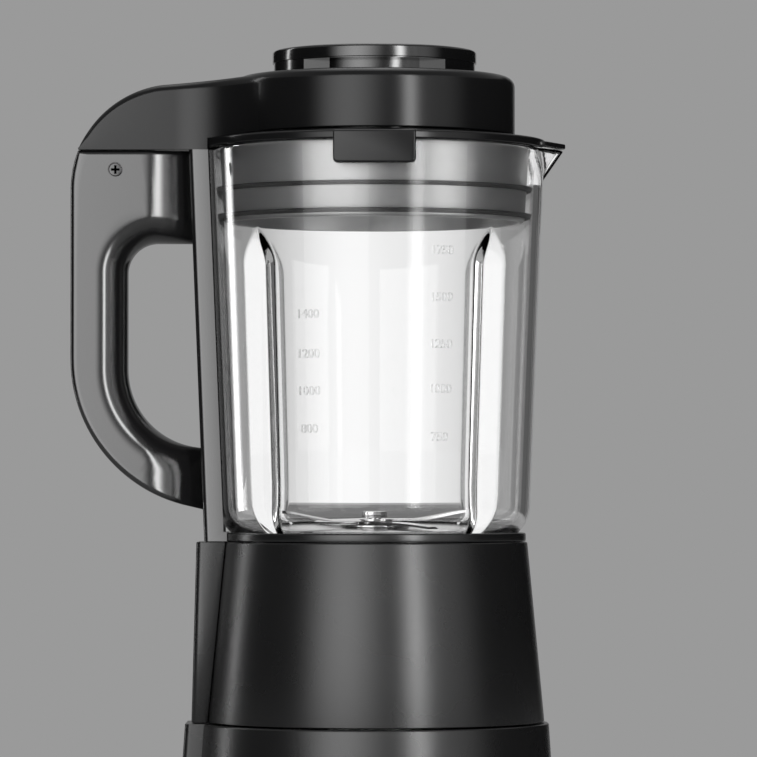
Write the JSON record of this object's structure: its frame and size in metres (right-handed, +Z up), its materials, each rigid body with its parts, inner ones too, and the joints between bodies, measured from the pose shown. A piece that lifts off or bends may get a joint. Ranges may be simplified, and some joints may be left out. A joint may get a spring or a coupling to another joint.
{
  "type": "heated blender",
  "caption": "Countertop blender with a glass jug that heats its contents, a D handle, a lid with filler cap and a motor base with control panel.",
  "frame": {"origin": "on the jug's and the motor's axis at the height of the table, at the middle pad of the bottom cover", "axes": "+Z up along the jug's axis, -X towards the handle, +X towards the pouring spout, -Y towards the control panel"},
  "size_m": [0.212, 0.1769, 0.3945],
  "materials": {
    "gloss_black": "polished black plastic with soft satin faces",
    "satin_black": "fine satin black plastic",
    "clear_glass": "clear thick glass",
    "display_smoke": "smoked glossy lens",
    "stainless_steel": "brushed stainless steel",
    "element_steel": "dull sheath of a heating element",
    "plug_grey": "satin metal skin of the lid's plug",
    "black_rubber": "matte rubber and silicone",
    "connector_plastic": "moulded black nylon",
    "motor_steel": "zinc-plated and laminated steel",
    "copper": "enamelled copper",
    "circuit_board": "green circuit board"
  },
  "bodies": {
    "base": {"base_lower_housing": "satin_black", "base_upper_housing": "satin_black", "base_upper_spine": "satin_black", "bottom_cover": "satin_black", "foot_1": "black_rubber", "foot_2": "black_rubber", "foot_3": "black_rubber", "foot_4": "black_rubber", "cord_gland": "black_rubber", "control_panel": "gloss_black", "display_lens": "display_smoke", "control_board": "circuit_board", "motor_frame": "motor_steel", "motor_bracket": "motor_steel", "stator_core": "motor_steel", "field_coil": "copper", "lower_bearing": "motor_steel", "upper_bearing": "motor_steel", "well_seal": "black_rubber", "connector_socket": "connector_plastic", "interlock_switch": "connector_plastic"},
    "jug": {"glass_jug": "clear_glass", "jug_collar": "gloss_black", "jug_base_cover": "satin_black", "heating_plate": "stainless_steel", "jug_seal": "black_rubber", "heating_element": "element_steel", "temperature_sensor": "stainless_steel", "blade_bearing_housing": "stainless_steel", "housing_nut": "stainless_steel", "blade_bearing": "motor_steel", "blade_seal": "black_rubber", "jug_connector": "connector_plastic", "handle_column": "gloss_black", "handle_front_shell": "gloss_black", "handle_rear_shell": "gloss_black", "handle_screw": "stainless_steel"},
    "lid": {"lid_rim": "gloss_black", "lid_shell": "gloss_black", "lid_plug": "plug_grey", "lid_seal_upper": "black_rubber", "lid_seal_lower": "black_rubber"},
    "cap": {"filler_cap": "gloss_black", "cap_gasket": "black_rubber"},
    "rotor": {"motor_shaft": "motor_steel", "armature": "motor_steel", "commutator": "copper", "cooling_fan": "connector_plastic", "drive_socket": "connector_plastic"},
    "blades": {"blade_shaft": "stainless_steel", "lower_blade": "stainless_steel", "upper_blade": "stainless_steel", "blade_nut": "stainless_steel", "jug_coupling": "connector_plastic"},
    "interlock": {"interlock_rod": "stainless_steel"},
    "knob": {"speed_knob": "gloss_black"},
    "button_1": {"button_1": "satin_black"},
    "button_2": {"button_2": "satin_black"},
    "button_3": {"button_3": "satin_black"},
    "button_4": {"button_4": "satin_black"}
  },
  "joints": [
    {"name": "jug_lift", "type": "slide", "parent": "base", "child": "jug", "axis": [0, 0, 1], "range_m": [0, 0.12]},
    {"name": "lid_lift", "type": "slide", "parent": "jug", "child": "lid", "axis": [0, 0, 1], "range_m": [0, 0.06]},
    {"name": "cap_lift", "type": "slide", "parent": "lid", "child": "cap", "axis": [0, 0, 1], "range_m": [0, 0.06]},
    {"name": "motor_spin", "type": "hinge", "parent": "base", "child": "rotor", "pos_m": [0, 0, 0.042], "axis": [0, 0, 1], "continuous": true},
    {"name": "blade_spin", "type": "hinge", "parent": "jug", "child": "blades", "pos_m": [0, 0, 0.1882], "axis": [0, 0, 1], "continuous": true},
    {"name": "interlock_slide", "type": "slide", "parent": "jug", "child": "interlock", "axis": [-0.04, 0, 0.9992], "range_m": [0, 0.003]},
    {"name": "knob_turn", "type": "hinge", "parent": "base", "child": "knob", "pos_m": [0, -0.07835, 0.056], "axis": [0, -1, 0], "range_deg": [-270, 0]},
    {"name": "button_1_press", "type": "slide", "parent": "base", "child": "button_1", "axis": [0.3338, 0.9426, 0], "range_m": [0, 0.0015], "stiffness_N_per_m": 900},
    {"name": "button_2_press", "type": "slide", "parent": "base", "child": "button_2", "axis": [0.3338, 0.9426, 0], "range_m": [0, 0.0015], "stiffness_N_per_m": 900},
    {"name": "button_3_press", "type": "slide", "parent": "base", "child": "button_3", "axis": [-0.3338, 0.9426, 0], "range_m": [0, 0.0015], "stiffness_N_per_m": 900},
    {"name": "button_4_press", "type": "slide", "parent": "base", "child": "button_4", "axis": [-0.3338, 0.9426, 0], "range_m": [0, 0.0015], "stiffness_N_per_m": 900}
  ],
  "couplings": [
    {"joint": "blade_spin", "follows": "motor_spin", "ratio": 1},
    {"joint": "interlock_slide", "follows": "lid_lift", "ratio": 0.05}
  ]
}
